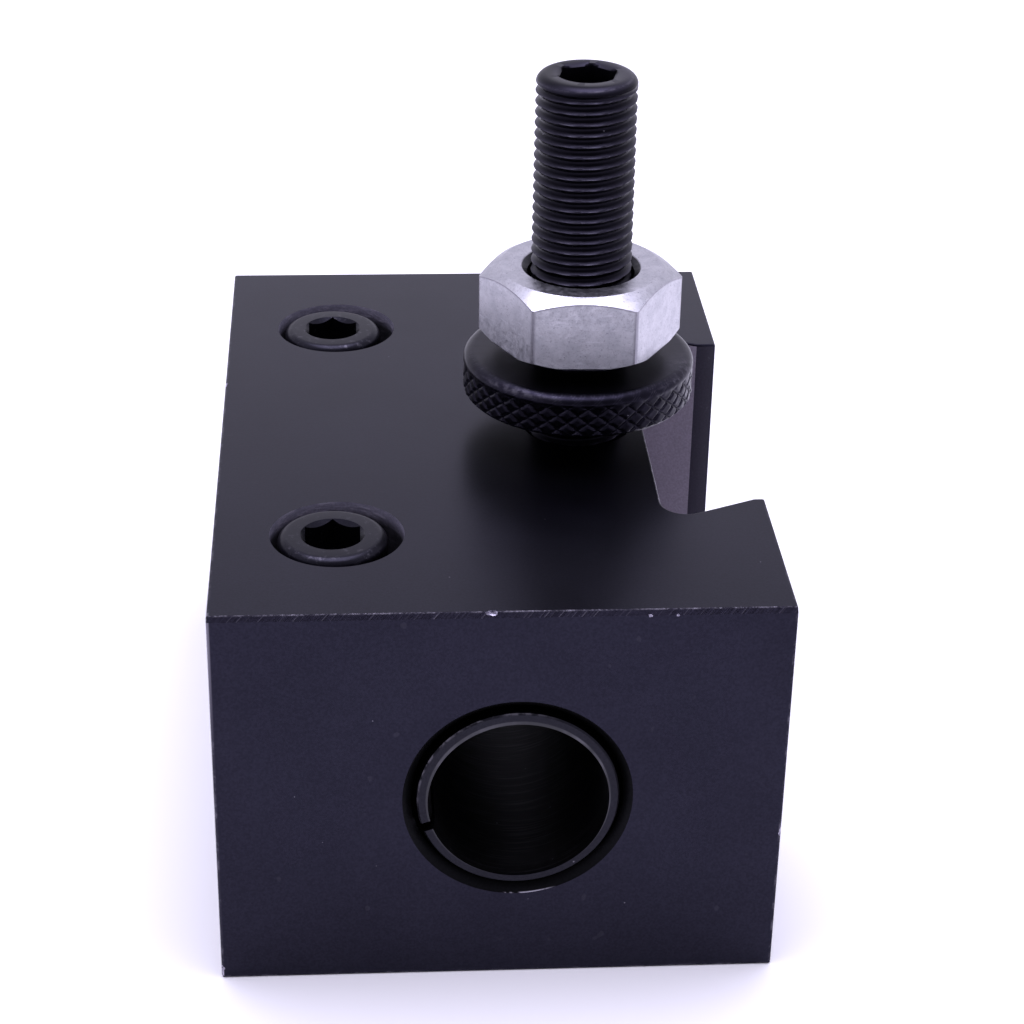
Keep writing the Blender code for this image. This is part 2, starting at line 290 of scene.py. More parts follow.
def bore_tool():
    """Cutter for the through bore, with a chamfer at each mouth."""
    flare = BORE_CHAMFER + PAST
    low, high = -HALF_LENGTH, HALF_LENGTH
    profile = [
        (0.0, low - PAST), (BORE_RADIUS + flare, low - PAST),
        (BORE_RADIUS, low + BORE_CHAMFER), (BORE_RADIUS, high - BORE_CHAMFER),
        (BORE_RADIUS + flare, high + PAST), (0.0, high + PAST),
    ]
    return link_object("bore_tool", turned(profile, 192), (BORE_X, 0.0, BORE_Z), LYING)


def clamp_hole_tool(label):
    """Cutter for one counterbore, clearance hole and plug hole, on one axis."""
    profile = [
        (0.0, -PAST), (PLUG_HOLE_RADIUS, -PAST), (PLUG_HOLE_RADIUS, PLUG_HOLE_ROOF_Z),
        (CLEARANCE_RADIUS, PLUG_HOLE_ROOF_Z), (CLEARANCE_RADIUS, COUNTERBORE_FLOOR_Z),
        (COUNTERBORE_RADIUS, COUNTERBORE_FLOOR_Z), (COUNTERBORE_RADIUS, HEIGHT + PAST),
        (0.0, HEIGHT + PAST),
    ]
    return link_object("clamp_hole_tool", turned(profile, 128), (CLAMP_X, STATION_Y[label], 0.0))


def stud_hole_tool():
    """Cutter for the stud's blind hole, with a small countersink."""
    low, high = STUD_HOLE_Z, HEIGHT + PAST
    sink = 0.4 * MM
    profile = [(0.0, low), (STUD_HOLE_RADIUS, low), (STUD_HOLE_RADIUS, HEIGHT - sink),
               (STUD_HOLE_RADIUS + sink + PAST, high), (0.0, high)]
    return link_object("stud_hole_tool", turned(profile, 96), (STUD_X, STUD_Y, 0.0))


def nick_tool():
    """Small jagged lumps that take chips out of the block's edges."""
    bm = bmesh.new()
    for seed, (place, size) in enumerate(body_nicks()):
        made = bmesh.ops.create_icosphere(bm, subdivisions=3, radius=1.0)["verts"]
        for vert in made:
            rough = noise.noise(vert.co * 1.7 + Vector((seed * 3.1, 0.0, 0.0)))
            vert.co *= 1.0 + 0.6 * rough
            vert.co = Vector(place) + Vector([vert.co[i] * size[i] for i in range(3)])
    return link_object("nick_tool", bm)


def body_nicks():
    """Chips on the block's edges: centre in metres, and size along X, Y and Z."""
    front, back, left = -HALF_LENGTH, HALF_LENGTH, -HALF_WIDTH
    inner = FRONT_TOP_CHAMFER / 2
    return [
        ((-1.0 * MM, front + 1.5 * inner, HEIGHT - inner / 2), (0.55 * MM, 0.26 * MM, 0.2 * MM)),
        ((12.6 * MM, front, HEIGHT - 2 * inner), (0.2 * MM, 0.1 * MM, 0.13 * MM)),
        ((15.0 * MM, front, HEIGHT - 2 * inner), (0.15 * MM, 0.1 * MM, 0.12 * MM)),
        ((left, 9.0 * MM, HEIGHT), (0.22 * MM, 0.5 * MM, 0.22 * MM)),
        ((6.0 * MM, back, HEIGHT), (0.45 * MM, 0.2 * MM, 0.2 * MM)),
        ((25.5 * MM, front, 15.0 * MM), (0.22 * MM, 0.22 * MM, 0.5 * MM)),
        ((left, front, 1.0 * MM), (0.3 * MM, 0.3 * MM, 0.4 * MM)),
    ]


def is_chip(centre, normal):
    """Whether a face lies in one of the small chips on the block's edges."""
    square_on, reach = 0.995, 1.3
    if max(abs(axis) for axis in normal) > square_on:
        return False
    return any(all(abs(centre[i] - place[i]) < reach * size[i] for i in range(3))
               for place, size in body_nicks())


def body_face_kind(face):
    """Which kind of face this is on the cut block."""
    c, n = face.calc_center_median(), face.normal
    if is_chip(c, n):
        return CHIPPED
    if c.y < -HALF_LENGTH + FRONT_TOP_CHAMFER + TOUCH and c.z > HEIGHT - FRONT_TOP_CHAMFER - TOUCH:
        if abs(n.y) < 0.95 and n.z < 0.95:
            return CHAMFERED
    floor_x = HALF_WIDTH - SLOT_DEPTH
    if abs(n.z) < 0.05 and abs(c.y) < SLOT_CORNER_HALF and c.x > floor_x - TOUCH:
        if n.x > 0.999 and c.x < floor_x + TOUCH:
            return MILLED
        if 0.2 < abs(n.x) < 0.9999 and c.x < HALF_WIDTH - EDGE_BREAK:
            return MILLED
        if abs(n.y) > 0.99:
            return LIP
    if math.hypot(c.x - BORE_X, c.z - BORE_Z) < BORE_RADIUS + BORE_CHAMFER and abs(n.y) < 0.9:
        if n.x * (c.x - BORE_X) + n.z * (c.z - BORE_Z) < 0:
            return BORED
    for station_y in STATION_Y.values():
        reach = math.hypot(c.x - CLAMP_X, c.y - station_y)
        if reach < PLUG_HOLE_RADIUS + TOUCH and CLEAR < c.z < HEIGHT - CLEAR:
            return DRILLED
    # The stud hole and its countersink take the bore's finish, whose near black is painted shade.
    in_stud_hole = math.hypot(c.x - STUD_X, c.y - STUD_Y) < STUD_HOLE_RADIUS + 0.5 * MM
    if in_stud_hole and STUD_HOLE_Z - TOUCH < c.z < HEIGHT - TOUCH:
        return BORED
    return GROUND


def make_block():
    """The block, cut, drilled and chipped, with one finish for each kind of face."""
    bm = prism(body_outline(), 0.0, HEIGHT)
    chamfer(bm, [e for e in bm.edges if is_front_top(e)], FRONT_TOP_CHAMFER)
    chamfer(bm, [e for e in bm.edges if is_sharp(e)], EDGE_BREAK, 2)
    block = link_object("block", bm)
    boolean(block, bore_tool())
    for label in STATION_Y:
        boolean(block, clamp_hole_tool(label))
    boolean(block, stud_hole_tool())
    boolean(block, nick_tool())
    soften(block)
    finishes = [ground_oxide(), worn_chamfer(), milled_slot(), bored_wall(), drilled_wall(),
                fresh_chip(), slot_lip()]
    block.data.materials.clear()
    for mat in finishes:
        block.data.materials.append(mat)
    bm = bmesh.new()
    bm.from_mesh(block.data)
    for face in bm.faces:
        face.material_index = body_face_kind(face)
    bm.to_mesh(block.data)
    bm.free()
    return block


def make_sleeve():
    """Split sleeve, its bore a little off centre, with one slit along its length."""
    low, high = -SLEEVE_HIGH.y, -SLEEVE_LOW.y
    outer, bevel = SLEEVE_RADIUS, SLEEVE_OUTER_CHAMFER
    profile = [(0.0, low), (outer - bevel, low), (outer, low + bevel),
               (outer, high - bevel), (outer - bevel, high), (0.0, high)]
    place = (SLEEVE_X, 0.0, SLEEVE_Z)
    sleeve = link_object("sleeve", turned(profile, 192), place, LYING)
    inner, lead = SLEEVE_INNER_RADIUS, SLEEVE_INNER_LEAD
    mouth = inner + lead
    hole = [(0.0, low - PAST), (mouth, low - PAST), (mouth, low + lead),
            (inner, low + SLEEVE_LEAD_DEPTH), (inner, high - SLEEVE_LEAD_DEPTH),
            (mouth, high - lead), (mouth, high + PAST), (0.0, high + PAST)]
    hole_place = (SLEEVE_X + SLEEVE_BORE_SHIFT[0], 0.0, SLEEVE_Z + SLEEVE_BORE_SHIFT[1])
    boolean(sleeve, link_object("hole_tool", turned(hole, 192), hole_place, LYING))
    reach, side = outer + PAST, SLIT_WIDTH / 2
    corners = [(0.0, -side), (reach, -side), (reach, side), (0.0, side)]
    c, s = math.cos(SLIT_ANGLE), math.sin(SLIT_ANGLE)
    outline = [(x * c - y * s, x * s + y * c) for x, y in corners]
    slit = prism(outline, low - PAST, high + PAST)
    boolean(sleeve, link_object("slit_tool", slit, place, LYING))
    soften(sleeve)
    return sleeve


def make_cap_screw(label):
    """Socket head cap screw with a fine straight knurl round its head."""
    low, high = SCREW_BOXES[label]
    axis = ((low.x + high.x) / 2, (low.y + high.y) / 2, 0.0)
    top, tip = high.z, low.z
    seat = top - SCREW_HEAD_HEIGHT
    rim = arc((SCREW_HEAD_RADIUS - SCREW_HEAD_ROUND, top - SCREW_HEAD_ROUND),
              SCREW_HEAD_ROUND, 0.0, math.pi / 2, 8)
    bevel = 0.5 * MM
    profile = [(0.0, tip), (SCREW_SHANK_RADIUS - bevel, tip), (SCREW_SHANK_RADIUS, tip + bevel),
               (SCREW_SHANK_RADIUS, seat), (SCREW_HEAD_RADIUS - bevel / 2, seat),
               (SCREW_HEAD_RADIUS, seat + bevel / 2), (SCREW_HEAD_RADIUS, seat + 2 * bevel),
               (SCREW_HEAD_RADIUS, top - 3 * bevel)]
    profile += rim + [(0.0, top)]
    bm = turned(profile, SCREW_SEGMENTS)
    for vert in bm.verts:
        reach = math.hypot(vert.co.x, vert.co.y)
        if reach > SCREW_HEAD_RADIUS - TOUCH and seat + bevel < vert.co.z < top - 2 * bevel:
            count = math.atan2(vert.co.y, vert.co.x) / (2.0 * math.pi) * SCREW_SEGMENTS
            if round(count) % SCREW_KNURL_STEP in (0, 1):
                vert.co.x *= 1.0 - SCREW_KNURL_DEPTH / reach
                vert.co.y *= 1.0 - SCREW_KNURL_DEPTH / reach
    screw = link_object("cap_screw_" + label, bm, axis)
    socket = prism(hexagon(SCREW_KEY, 0.0), top - SCREW_KEY_DEPTH, top + PAST)
    boolean(screw, link_object("socket_tool", socket, axis))
    key_half = SCREW_KEY / 2
    sink = [(0.0, top - KEY_SINK), (key_half, top - KEY_SINK),
            (key_half + KEY_SINK + PAST, top + PAST), (0.0, top + PAST)]
    boolean(screw, link_object("sink_tool", turned(sink, 96), axis))
    soften(screw, 30.0)
    return screw


def thread_profile(phase):
    """Radial depth of a rounded 60 degree thread over one pitch, 0 at the crest and 1 at the root."""
    away = abs(2.0 * (phase % 1.0) - 1.0)
    return min(1.0, max(0.0, (away - 0.05) / 0.72)) ** 0.8


def field_mesh(rings, segments, start=0.0):
    """A round surface from rings of (z, radius function, function for wear and painted light), first and
    last ring closed.

    When the last ring is None the surface is a torus, and joins back to the first ring."""
    bm = bmesh.new()
    layer = bm.verts.layers.float.new("wear_and_painted_light")
    loops = []
    for z, radius_at, wear_and_light_at in (ring for ring in rings if ring):
        loop = []
        for i in range(segments):
            angle = start + 2.0 * math.pi * i / segments
            radius = radius_at(angle, z)
            vert = bm.verts.new((radius * math.cos(angle), radius * math.sin(angle), z))
            vert[layer] = wear_and_light_at(angle, z)
            loop.append(vert)
        loops.append(loop)
    closed = rings[-1] is None
    pairs = zip(loops, loops[1:] + loops[:1]) if closed else zip(loops, loops[1:])
    for low, high in pairs:
        for i in range(segments):
            j = (i + 1) % segments
            bm.faces.new((low[i], low[j], high[j], high[i]))
    if not closed:
        bm.faces.new(list(reversed(loops[0])))
        bm.faces.new(loops[-1])
    return bm


def even(level):
    """A radius or wear function with the same value all round."""
    return lambda angle, z: level


def stud_radius(angle, z):
    """Threaded stud with a rounded top end and a chamfered lower end."""
    top, low = STUD_HIGH.z, STUD_LOW.z
    crest = STUD_RADIUS - THREAD_CREST_INSET - THREAD_TAPER * (z - low) / (top - low)
    depth = THREAD_DEPTH * thread_profile(z / THREAD_PITCH - angle / (2.0 * math.pi))
    fade = min(1.0, max(0.0, (top - THREAD_END_BELOW_TOP - z) / THREAD_RUN_OUT))
    radius = crest - depth * fade
    over = max(0.0, (z - top + STUD_END_DROP) / STUD_END_DROP)
    dome = crest - STUD_END_INSET * (1.0 - math.sqrt(max(0.0, 1.0 - over ** 2)))
    return min(radius, dome, STUD_RADIUS - STUD_LOW_CHAMFER + (z - low))


def stud_wear_and_shade(angle, z):
    """1 on the thread's crests and 0 in its roots; it drives rubbing on the crests and painted shade in
    the roots.
    """
    return 1.0 - thread_profile(z / THREAD_PITCH - angle / (2.0 * math.pi))


def socket_radius(angle, z):
    """Distance from the stud's axis to its hexagon socket's wall, the same at every z."""
    corner_angle = (angle - STUD_KEY_TURN) % (math.pi / 3) - math.pi / 6
    return STUD_KEY / 2 / math.cos(corner_angle)


def make_stud():
    """Threaded stud, its top end rounded over into a hexagon socket."""
    top, low = STUD_HIGH.z, STUD_LOW.z
    step = THREAD_PITCH / 12
    count = int((top - STUD_END_DROP - low) / step)
    heights = [low + step * i for i in range(count)]
    turns = [math.pi / 2 * i / 16 for i in range(17)]
    heights += [top - STUD_END_DROP * (1.0 - math.sin(a)) for a in turns]
    rings = [(z, stud_radius, stud_wear_and_shade) for z in heights]
    # The socket's rings carry falling values, so the painted shade darkens it towards its bottom.
    rings += [(top, even(STUD_KEY / 2 + KEY_SINK), even(0.6)),
              (top - KEY_SINK * 0.6, socket_radius, even(0.4)),
              (top - STUD_KEY_DEPTH, socket_radius, even(0.0))]
    stud = link_object("stud", field_mesh(rings, 96, STUD_KEY_TURN), (STUD_X, STUD_Y, 0.0))
    soften(stud, 50.0)
    return stud


def knurl_height(angle, z):
    """Flat-topped diamonds between crossed grooves: 0 in the grooves and about 1 on the flats."""
    around = KNURL_COUNT * angle / (2.0 * math.pi)
    along = (z - WHEEL_LOW.z) / KNURL_PITCH_Z
    rows = [1.0 - abs(2.0 * ((around + side * along) % 1.0) - 1.0) for side in (1.0, -1.0)]
    # Some flats are lower than others, in patches a little over 1 mm across
    spot = Vector((math.cos(angle) * 9.0, math.sin(angle) * 9.0, z * 800.0))
    worn = 0.85 + 0.4 * noise.noise(spot)
    return min(worn, KNURL_FLAT_GAIN * min(rows))


def rim_rub_and_highlight(angle):
    """How rubbed and highlighted the wheel's rims are at an angle: rubs and painted highlights most at
    two places, least at the front.
    """
    reach = max(math.cos(angle - place) for place in RIM_RUBS_AND_HIGHLIGHTS)
    return max(0.0, (reach - 0.78) / 0.22)


def knurl_wear_and_light(angle, z):
    """Rubbing on the walls of the knurl's grooves, rubs and painted highlights along the wheel's two
    rims, and a painted light on its right side.
    """
    height = knurl_height(angle, z)
    wall = 0.8 * (1.0 - abs(2.0 * height - 0.9))
    # The rim terms are part rubbing and part painted highlight.
    rim = rim_rub_and_highlight(angle) * (1.0 - abs(z - WHEEL_HIGH.z + 0.35 * MM) / (0.6 * MM))
    low_rim = (0.3 + 0.7 * rim_rub_and_highlight(angle)) * (1.0 - (z - WHEEL_LOW.z) / (0.45 * MM))
    # Painted light: the knurl is brightened towards the right side, as if lit from there.
    side = 0.75 * max(0.0, math.cos(angle - SIDE_PAINTED_LIGHT)) ** 8
    return max(0.0, wall, rim, low_rim, side)


def wheel_radius(angle, z):
    """Knurled outside, rounded over to the flat top and chamfered at the bottom."""
    below = WHEEL_HIGH.z - z
    fade = min(1.0, max(0.0, (below - KNURL_END_BELOW_TOP) / KNURL_RUN_OUT))
    knurled = WHEEL_RADIUS - KNURL_DEPTH * (1.0 - knurl_height(angle, z)) * fade
    drop = max(0.0, 1.0 - below / WHEEL_RIM_DROP)
    rim = WHEEL_FLAT_RADIUS + (WHEEL_RADIUS - WHEEL_FLAT_RADIUS) * math.sqrt(1.0 - drop ** 2)
    low_cone = WHEEL_RADIUS - WHEEL_BOTTOM_CHAMFER + (z - WHEEL_LOW.z)
    return min(knurled, rim, low_cone)


def make_wheel():
    """Thumb wheel: knurled outside, then its top face, its countersunk hole and its underside."""
    rows, rim_rows = 34, 12
    low, high, sink = WHEEL_LOW.z, WHEEL_HIGH.z, 0.5 * MM
    knurl_top = high - WHEEL_RIM_DROP
    heights = [low + (knurl_top - low) * i / rows for i in range(rows)]
    turns = [math.pi / 2 * i / rim_rows for i in range(rim_rows + 1)]
    heights += [knurl_top + WHEEL_RIM_DROP * math.sin(a) for a in turns]
    rings = [(z, wheel_radius, knurl_wear_and_light) for z in heights]
    for z, radius in ((high, WHEEL_HOLE_RADIUS + sink), (high - sink, WHEEL_HOLE_RADIUS),
                      (low + sink, WHEEL_HOLE_RADIUS), (low, WHEEL_HOLE_RADIUS + sink)):
        rings.append((z, even(radius), even(0.0)))
    rings.append(None)
    wheel = link_object("knurled_wheel", field_mesh(rings, KNURL_COUNT * 12), (STUD_X, STUD_Y, 0.0))
    soften(wheel, 32.0)
    return wheel


def make_nut():
    """Hex nut, chamfered on both ends, with softened corners and a countersunk thread."""
    place = (STUD_X, STUD_Y, 0.0)
    low, high = NUT_LOW.z, NUT_HIGH.z
    outline = hexagon(NUT_ACROSS_FLATS, NUT_TURN + math.pi / 6)
    nut = link_object("hex_nut", prism(outline, low, high), place)
    bevel_edges(nut, 0.25 * MM, 3, 50.0)
    wide = NUT_ACROSS_FLATS * 0.75
    top_drop = (wide - NUT_TOP_FACE_RADIUS) * NUT_CONE_SLOPE
    bottom_rise = (wide - NUT_BOTTOM_FACE_RADIUS) * NUT_CONE_SLOPE
    sink = NUT_COUNTERSINK_RADIUS - NUT_HOLE_RADIUS
    envelope = [
        (NUT_HOLE_RADIUS, low + sink), (NUT_COUNTERSINK_RADIUS, low),
        (NUT_BOTTOM_FACE_RADIUS, low), (wide, low + bottom_rise),
        (wide, high - top_drop), (NUT_TOP_FACE_RADIUS, high),
        (NUT_COUNTERSINK_RADIUS, high), (NUT_HOLE_RADIUS, high - sink),
    ]
    boolean(nut, link_object("envelope_tool", turned(envelope, 192), place), "INTERSECT")
    bevel_edges(nut, 0.08 * MM, 2, 22.0)
    soften(nut, 12.0)
    return nut


# Materials

def add_node(tree, kind, inputs=None, **settings):
    item = tree.nodes.new(kind)
    for name, setting in settings.items():
        setattr(item, name, setting)
    for key, source in (inputs or {}).items():
        if isinstance(source, bpy.types.NodeSocket):
            tree.links.new(source, item.inputs[key])
        else:
            item.inputs[key].default_value = source
    return item


def maths(tree, operation, *terms):
    return add_node(tree, "ShaderNodeMath", dict(enumerate(terms)), operation=operation).outputs[0]


def product(tree, *terms):
    return reduce(lambda one, other: maths(tree, "MULTIPLY", one, other), terms)


def largest(tree, *terms):
    return reduce(lambda one, other: maths(tree, "MAXIMUM", one, other), terms)


def distance(tree, across, along):
    """Length of a flat offset, from its two components."""
    squares = maths(tree, "ADD", product(tree, across, across), product(tree, along, along))
    return maths(tree, "SQRT", squares)


def scaled(tree, vector, factor):
    """A vector or colour times a factor."""
    return add_node(tree, "ShaderNodeVectorMath", {0: vector, 3: factor}, operation="SCALE").outputs[0]


def ramp(tree, source, low, high, out_low=0.0, out_high=1.0):
    """Smoothly remap source from low..high to out_low..out_high."""
    item = add_node(tree, "ShaderNodeMapRange", {
        "Value": source, "From Min": low, "From Max": high, "To Min": out_low, "To Max": out_high,
    }, interpolation_type="SMOOTHSTEP")
    return item.outputs["Result"]


def mix_colour(tree, factor, low, high):
    item = add_node(tree, "ShaderNodeMix", data_type="RGBA")
    for key, source in ((0, factor), (6, low), (7, high)):
        if isinstance(source, bpy.types.NodeSocket):
            tree.links.new(source, item.inputs[key])
        else:
            item.inputs[key].default_value = source if key == 0 else (*source, 1.0)
    return item.outputs[2]


def grain(tree, size_mm, detail=3.0, stretch=(1.0, 1.0, 1.0), shift=0.0, roughness=0.55):
    """Noise in the object's own space whose features are about size_mm across, stretched per axis."""
    coords = add_node(tree, "ShaderNodeTexCoord").outputs["Object"]
    scale = [1.0 / (MM * size_mm * s) for s in stretch]
    mapped = add_node(tree, "ShaderNodeMapping", {
        "Vector": coords, "Scale": scale, "Location": (shift, shift * 0.7, shift * 1.3),
    })
    item = add_node(tree, "ShaderNodeTexNoise", {
        "Vector": mapped.outputs[0], "Scale": 1.0, "Detail": detail, "Roughness": roughness,
    })
    return item.outputs["Fac"]


def specks(tree, spacing_mm, size, share):
    """Mask of small scattered marks: 1 on a mark, 0 elsewhere."""
    coords = add_node(tree, "ShaderNodeTexCoord").outputs["Object"]
    scale = [1.0 / (MM * spacing_mm)] * 3
    mapped = add_node(tree, "ShaderNodeMapping", {"Vector": coords, "Scale": scale})
    cells = add_node(tree, "ShaderNodeTexVoronoi", {
        "Vector": mapped.outputs[0], "Scale": 1.0, "Randomness": 1.0,
    })
    chosen = add_node(tree, "ShaderNodeSeparateColor", {"Color": cells.outputs["Color"]}).outputs[0]
    picked = maths(tree, "LESS_THAN", chosen, share)
    near = ramp(tree, cells.outputs["Distance"], size, size * 0.5)
    return product(tree, picked, near)


def axes(tree):
    """The object's X, Y and Z in millimetres."""
    coords = add_node(tree, "ShaderNodeTexCoord").outputs["Object"]
    return add_node(tree, "ShaderNodeSeparateXYZ", {0: scaled(tree, coords, 1.0 / MM)}).outputs


def new_material(name):
    mat = bpy.data.materials.new(name)
    mat.use_nodes = True
    return mat, mat.node_tree, mat.node_tree.nodes["Principled BSDF"]


def bump(tree, shader, height, depth_mm):
    """Add a bump layer on top of whatever already drives the shader's normal."""
    inputs = {"Height": height, "Distance": depth_mm * MM, "Strength": 1.0}
    if shader.inputs["Normal"].is_linked:
        inputs["Normal"] = shader.inputs["Normal"].links[0].from_socket
    item = add_node(tree, "ShaderNodeBump", inputs)
    tree.links.new(item.outputs[0], shader.inputs["Normal"])


GROUND_OXIDE = (0.0168, 0.0162, 0.0258)
CHAMFER_OXIDE = (0.0155, 0.0145, 0.023)
SLOT_OXIDE = (0.205, 0.183, 0.225)
LIP_OXIDE = (0.0245, 0.0222, 0.0345)
# The bore's colour is oxide darkened further, as painted shade.
BORE_OXIDE_AND_SHADE = (0.0065, 0.0065, 0.0075)
HOLE_OXIDE = (0.150, 0.142, 0.190)
SLEEVE_OXIDE = (0.0175, 0.0172, 0.0225)
SLEEVE_INSIDE_LIGHT = (0.040, 0.040, 0.044)
SCREW_OXIDE = (0.017, 0.0165, 0.0225)
PLUG_OXIDE = (0.022, 0.021, 0.029)
STUD_OXIDE = (0.029, 0.027, 0.040)
WHEEL_OXIDE = (0.0180, 0.0166, 0.0265)
BARE_STEEL = (0.42, 0.40, 0.47)
CHIP_STEEL = (0.36, 0.34, 0.42)
HOLE_SCRATCH = (0.34, 0.32, 0.40)
ZINC_DARK = (0.41, 0.41, 0.45)
ZINC_PALE = (0.51, 0.505, 0.545)
ZINC_SPECKLE = (0.22, 0.21, 0.25)
ZINC_PIT = (0.13, 0.12, 0.16)
ZINC_SCRATCH = (0.78, 0.76, 0.84)
ZINC_EDGE_SHADE = (0.13, 0.12, 0.15)
ZINC_THROAT_SHADE = (0.03, 0.03, 0.035)
OXIDE_ROUGHNESS = 0.30


def oxide_base(name, tint, roughness, grain_mm=0.22, grain_depth=0.0022):
    """Black oxide on steel: dark tinted reflection, cloudy colour, fine grain."""
    mat, tree, shader = new_material(name)
    cloud = ramp(tree, grain(tree, 9.0, 3.0), 0.3, 0.7, 0.95, 1.05)
    fine = ramp(tree, grain(tree, grain_mm, 2.0, shift=4.0), 0.25, 0.75, 0.86, 1.14)
    colour = scaled(tree, tint, product(tree, cloud, fine))
    shader.inputs["Metallic"].default_value = 1.0
    rough = maths(tree, "MULTIPLY_ADD", grain(tree, 3.5, 4.0, shift=9.0), 0.06, roughness - 0.03)
    bump(tree, shader, grain(tree, grain_mm, 3.0, shift=2.0), grain_depth)
    return mat, tree, shader, colour, rough


def paint(tree, shader, colour, rough):
    """Drive the shader's colour and roughness."""
    for socket, source in (("Base Color", colour), ("Roughness", rough)):
        tree.links.new(source, shader.inputs[socket])


def wear_over(tree, colour, rough, mask, bare=BARE_STEEL, bare_rough=0.34):
    """Lay bare metal over a finish where mask is 1."""
    worn = mix_colour(tree, mask, colour, bare)
    worn_rough = maths(tree, "MULTIPLY_ADD", mask, bare_rough - OXIDE_ROUGHNESS, rough)
    return worn, worn_rough


def block_edge_distance(tree):
    """Distance in mm from a surface point to the nearest outer edge of the block."""
    x, y, z = axes(tree)
    half_w, half_l, half_h = HALF_WIDTH / MM, HALF_LENGTH / MM, HEIGHT / 2 / MM
    dx = maths(tree, "SUBTRACT", half_w, maths(tree, "ABSOLUTE", x))
    dy = maths(tree, "SUBTRACT", half_l, maths(tree, "ABSOLUTE", y))
    dz = maths(tree, "SUBTRACT", half_h, maths(tree, "ABSOLUTE", maths(tree, "SUBTRACT", z, half_h)))
    low = maths(tree, "MINIMUM", dx, dy)
    high = largest(tree, dx, dy)
    return largest(tree, low, maths(tree, "MINIMUM", high, dz))


def ground_oxide():
    """Ground and blackened faces of the block, rubbed bright along the edges in places, with a painted
    highlight along the left front upright edge, brighter towards the top.
    """
    mat, tree, shader, colour, rough = oxide_base("black_oxide_body", GROUND_OXIDE,
                                                 OXIDE_ROUGHNESS)
    lay = ramp(tree, grain(tree, 0.16, 2.0, stretch=(14.0, 1.0, 14.0), shift=1.0), 0.2, 0.8)
    bump(tree, shader, lay, 0.0003)
    x, y, z = axes(tree)
    near = ramp(tree, block_edge_distance(tree), 0.34, 0.14)
    patchy = ramp(tree, grain(tree, 1.4, 5.0, shift=3.0, roughness=0.7), 0.46, 0.66, 0.0, 0.16)
    left = maths(tree, "LESS_THAN", x, 1.0 - HALF_WIDTH / MM)
    front = maths(tree, "LESS_THAN", y, 1.0 - HALF_LENGTH / MM)
    # Painted highlight: a bare-metal line down the left front upright edge, stronger towards the top.
    edge_highlight = product(tree, left, ramp(tree, z, 22.0, HEIGHT / MM, 0.02, 0.30), front)
    rub = product(tree, near, largest(tree, patchy, edge_highlight))
    slot_rim = slot_rim_rub(tree, x, y, z)
    dots = product(tree, specks(tree, spacing_mm=2.3, size=0.035, share=0.16), 0.3)
    hair = ramp(tree, grain(tree, 0.32, 1.0, stretch=(5.0, 1.0, 7.0), shift=6.0), 0.74, 0.78, 0.0, 0.018)
    colour, rough = wear_over(tree, colour, rough, largest(tree, rub, slot_rim, dots, hair))
    paint(tree, shader, colour, rough)
    return mat


def slot_rim_rub(tree, x, y, z):
    """Small bare nicks along the slot floor's top edge."""
    floor_x = (HALF_WIDTH - SLOT_DEPTH) / MM
    beside = ramp(tree, maths(tree, "ABSOLUTE", maths(tree, "SUBTRACT", x, floor_x)), 0.22, 0.08)
    high = maths(tree, "GREATER_THAN", z, HEIGHT / MM - 0.3)
    inside = maths(tree, "LESS_THAN", maths(tree, "ABSOLUTE", y), 17.5)
    patchy = ramp(tree, grain(tree, 0.7, 4.0, shift=12.0, roughness=0.7), 0.54, 0.62, 0.0, 0.6)
    return product(tree, beside, high, inside, patchy)


def worn_chamfer():
    """The front top chamfer: dark, with slanted file marks and a rubbed upper line."""
    mat, tree, shader, colour, rough = oxide_base("black_oxide_chamfer", CHAMFER_OXIDE, 0.36)
    x, _, z = axes(tree)
    slant = maths(tree, "SUBTRACT", x, product(tree, z, 1.3))
    streak = add_node(tree, "ShaderNodeTexNoise", {
        "W": slant, "Scale": 2.6, "Detail": 6.0, "Roughness": 0.75,
    }, noise_dimensions="1D")
    marks = ramp(tree, streak.outputs["Fac"], 0.56, 0.70, 0.0, 0.13)
    above = ramp(tree, z, HEIGHT / MM - 0.13, HEIGHT / MM - 0.02)
    broken = ramp(tree, grain(tree, 0.8, 5.0, shift=8.0, roughness=0.75), 0.42, 0.64, 0.03, 0.42)
    line = product(tree, above, broken)
    colour, rough = wear_over(tree, colour, rough, largest(tree, marks, line))
    bump(tree, shader, streak.outputs["Fac"], 0.04)
    paint(tree, shader, colour, rough)
    return mat


def milled_slot():
    """Milled slot flanks and floor: thinner, browner oxide with fine cutter lines up the slot."""
    mat, tree, shader, colour, rough = oxide_base("black_oxide_slot", SLOT_OXIDE, 0.62)
    shader.inputs["Metallic"].default_value = 0.1
    shader.inputs["Specular IOR Level"].default_value = 0.3
    lines = ramp(tree, grain(tree, 0.22, 3.0, stretch=(1.0, 1.0, 60.0), shift=5.0), 0.25, 0.75)
    bump(tree, shader, lines, 0.004)
    rub = ramp(tree, grain(tree, 2.2, 5.0, stretch=(1.0, 1.0, 3.0), shift=7.0), 0.66, 0.74, 0.0, 0.12)
    colour, rough = wear_over(tree, colour, rough, rub)
    paint(tree, shader, colour, rough)
    return mat


def fresh_chip():
    """Bare steel where a knock took a chip out of an edge."""
    mat, tree, shader, colour, rough = oxide_base("bare_steel_chip", CHIP_STEEL, 0.42)
    shader.inputs["Metallic"].default_value = 0.6
    bump(tree, shader, grain(tree, 0.12, 3.0, shift=5.0), 0.02)
    paint(tree, shader, colour, rough)
    return mat


